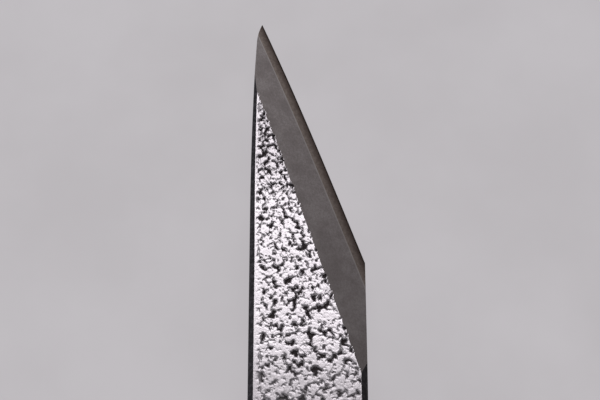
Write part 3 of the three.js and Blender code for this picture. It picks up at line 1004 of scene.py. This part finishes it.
def add_handle_side(side, face, outward):
    """The bolster, liner and scale on one face of the tang."""
    block = piece(f"{side}_bolster", bolster(face, outward), [BOLSTER])
    cut(block, pin_hole_profiles())
    liner_levels = [(0, 0), (0, LINER_THICKNESS)]
    liner = piece(f"{side}_liner", slab(liner_levels, face, outward), [FIBRE])
    scale = piece(f"{side}_scale", slab(scale_levels(), face, outward), [WOOD])
    for obj in (liner, scale):
        cut(obj, rivet_hole_profiles())
    for obj in (block, liner, scale):
        obj.data.set_sharp_from_angle(angle=SHARP_ANGLE)


def add_turned(node, profile, x, y):
    """A polished round fastening."""
    obj = piece(node, lathe(profile, x, y), [RIVET])
    obj.data.set_sharp_from_angle(angle=SHARP_ANGLE)


def sleeve_profile():
    head_end = HANDLE_BOTTOM + RIVET_HEAD_HEIGHT
    stem_end = HANDLE_TOP - RIVET_HEAD_HEIGHT - RIVET_END_GAP
    bore_floor = HANDLE_BOTTOM + SLEEVE_FLOOR
    return [
        (0, HANDLE_BOTTOM),
        (RIVET_HEAD_RADIUS, HANDLE_BOTTOM),
        (RIVET_HEAD_RADIUS, head_end),
        (SLEEVE_RADIUS, head_end),
        (SLEEVE_RADIUS, stem_end),
        (SLEEVE_BORE_RADIUS, stem_end),
        (SLEEVE_BORE_RADIUS, bore_floor),
        (0, bore_floor),
    ]


def post_profile():
    post_end = HANDLE_BOTTOM + SLEEVE_FLOOR + POST_END_GAP
    head_end = HANDLE_TOP - RIVET_HEAD_HEIGHT
    return [
        (0, post_end),
        (POST_RADIUS, post_end),
        (POST_RADIUS, head_end),
        (RIVET_HEAD_RADIUS, head_end),
        (RIVET_HEAD_RADIUS, HANDLE_TOP),
        (0, HANDLE_TOP),
    ]


add_blade()
add_edge_steel()
add_handle_side("front", TANG_THICKNESS, 1)
add_handle_side("back", 0.0, -1)
for side, x in (("spine", -PIN_SPREAD), ("edge", PIN_SPREAD)):
    pin_profile = cylinder_profile(PIN_RADIUS, HANDLE_BOTTOM, HANDLE_TOP)
    add_turned(f"bolster_pin_{side}", pin_profile, x, PIN_Y)
for place, y in RIVET_POSITIONS.items():
    add_turned(f"{place}_rivet_sleeve", sleeve_profile(), 0.0, y)
    add_turned(f"{place}_rivet_post", post_profile(), 0.0, y)


# ---------------------------------------------------------------- floor, light and camera

# In metres.
FLOOR_FLAT = 2.4
FLOOR_SWEEP = 0.6
CONTACT_SHADE = 0.004
LIGHT_TARGET = (0.0, 0.07, 0.01)
CAMERA_PLACE = (-0.00155, -0.0827, 0.3296)

FLOOR_BENDS = 13
FLOOR_TURNS = 96
FLOOR_GLOW = 0.47
CAMERA_TILT = math.radians(24)
CAMERA_LENS = 100.0
WORLD_TINT = (0.95, 0.93, 0.96, 1)
WORLD_STRENGTH = 0.1


def add_floor():
    """A pale sheet, flat under the knife and swept up all round, far behind it.

    It gives off most of its own brightness, and is only darker close under what stands on it."""
    bends = np.linspace(0, math.pi / 2, FLOOR_BENDS)
    profile = [(FLOOR_FLAT + FLOOR_SWEEP * math.sin(b), FLOOR_SWEEP * (1 - math.cos(b))) for b in bends]
    turns = np.linspace(0, 2 * math.pi, FLOOR_TURNS, endpoint=False)
    made = bmesh.new()
    rings = [[made.verts.new((r * math.cos(t), r * math.sin(t), z)) for t in turns] for r, z in profile]
    made.faces.new(rings[0])
    for low, high in zip(rings, rings[1:]):
        for i in range(len(turns)):
            made.faces.new((low[i - 1], low[i], high[i], high[i - 1]))
    mesh = bpy.data.meshes.new("floor")
    made.to_mesh(mesh)
    made.free()
    mesh.shade_smooth()
    mesh.polygons[0].use_smooth = False
    floor = bpy.data.objects.new("floor", mesh)
    bpy.context.scene.collection.objects.link(floor)
    f = Finish("pale_floor")
    glow = f.mix(f.ramp(f.noise(45, 4), 0.3, 0.7), (0.92, 0.875, 0.915, 1), (1.0, 0.955, 1.0, 1))
    shade = f.add("ShaderNodeAmbientOcclusion", {"Color": glow, "Distance": CONTACT_SHADE}, samples=8)
    f.set(Base_Color=grey(0.14), Roughness=0.9, Specular_IOR_Level=0.0)
    mesh.materials.append(f.set(Emission_Color=shade.outputs["Color"], Emission_Strength=FLOOR_GLOW))


def softbox(name, tilt, turn, half_width, half_length, radiance):
    """A soft area light a metre from the blade. tilt is from straight up, and turn from the tip's direction
    towards the edge side. All angles are in degrees, with the light's half sizes as seen from the blade."""
    tilt, turn = math.radians(tilt), math.radians(turn)
    towards = np.array([math.sin(tilt) * math.sin(turn), math.sin(tilt) * math.cos(turn), math.cos(tilt)])
    data = bpy.data.lights.new(name, "AREA")
    data.shape = "RECTANGLE"
    data.size = 2 * math.tan(math.radians(half_width))
    data.size_y = 2 * math.tan(math.radians(half_length))
    data.energy = radiance * math.pi * data.size * data.size_y
    light = bpy.data.objects.new(name, data)
    bpy.context.scene.collection.objects.link(light)
    light.location = (np.array(LIGHT_TARGET) + towards).tolist()
    light.rotation_euler = (-tilt, 0.0, -turn)


def add_camera():
    data = bpy.data.cameras.new("camera")
    data.lens = CAMERA_LENS
    data.sensor_width = 36.0
    data.clip_start = 0.01
    camera = bpy.data.objects.new("camera", data)
    camera.location = CAMERA_PLACE
    camera.rotation_euler = (CAMERA_TILT, 0.0, 0.0)
    bpy.context.scene.collection.objects.link(camera)
    bpy.context.scene.camera = camera


def add_world():
    world = bpy.data.worlds.new("studio")
    world.use_nodes = True
    background = world.node_tree.nodes["Background"]
    background.inputs["Color"].default_value = WORLD_TINT
    background.inputs["Strength"].default_value = WORLD_STRENGTH
    bpy.context.scene.world = world
    bpy.context.scene.view_settings.view_transform = "Standard"


add_floor()
softbox("key", 44, 0, 20, 25, 1.92)
softbox("low_key", 8, 0, 25, 10, 0.45)
softbox("bevel_fill", 61, 39, 10, 12, 0.24)
softbox("left_fill", 66, -90, 25, 25, 0.4)
softbox("rear_fill", 60, 180, 25, 20, 0.3)
add_world()
add_camera()
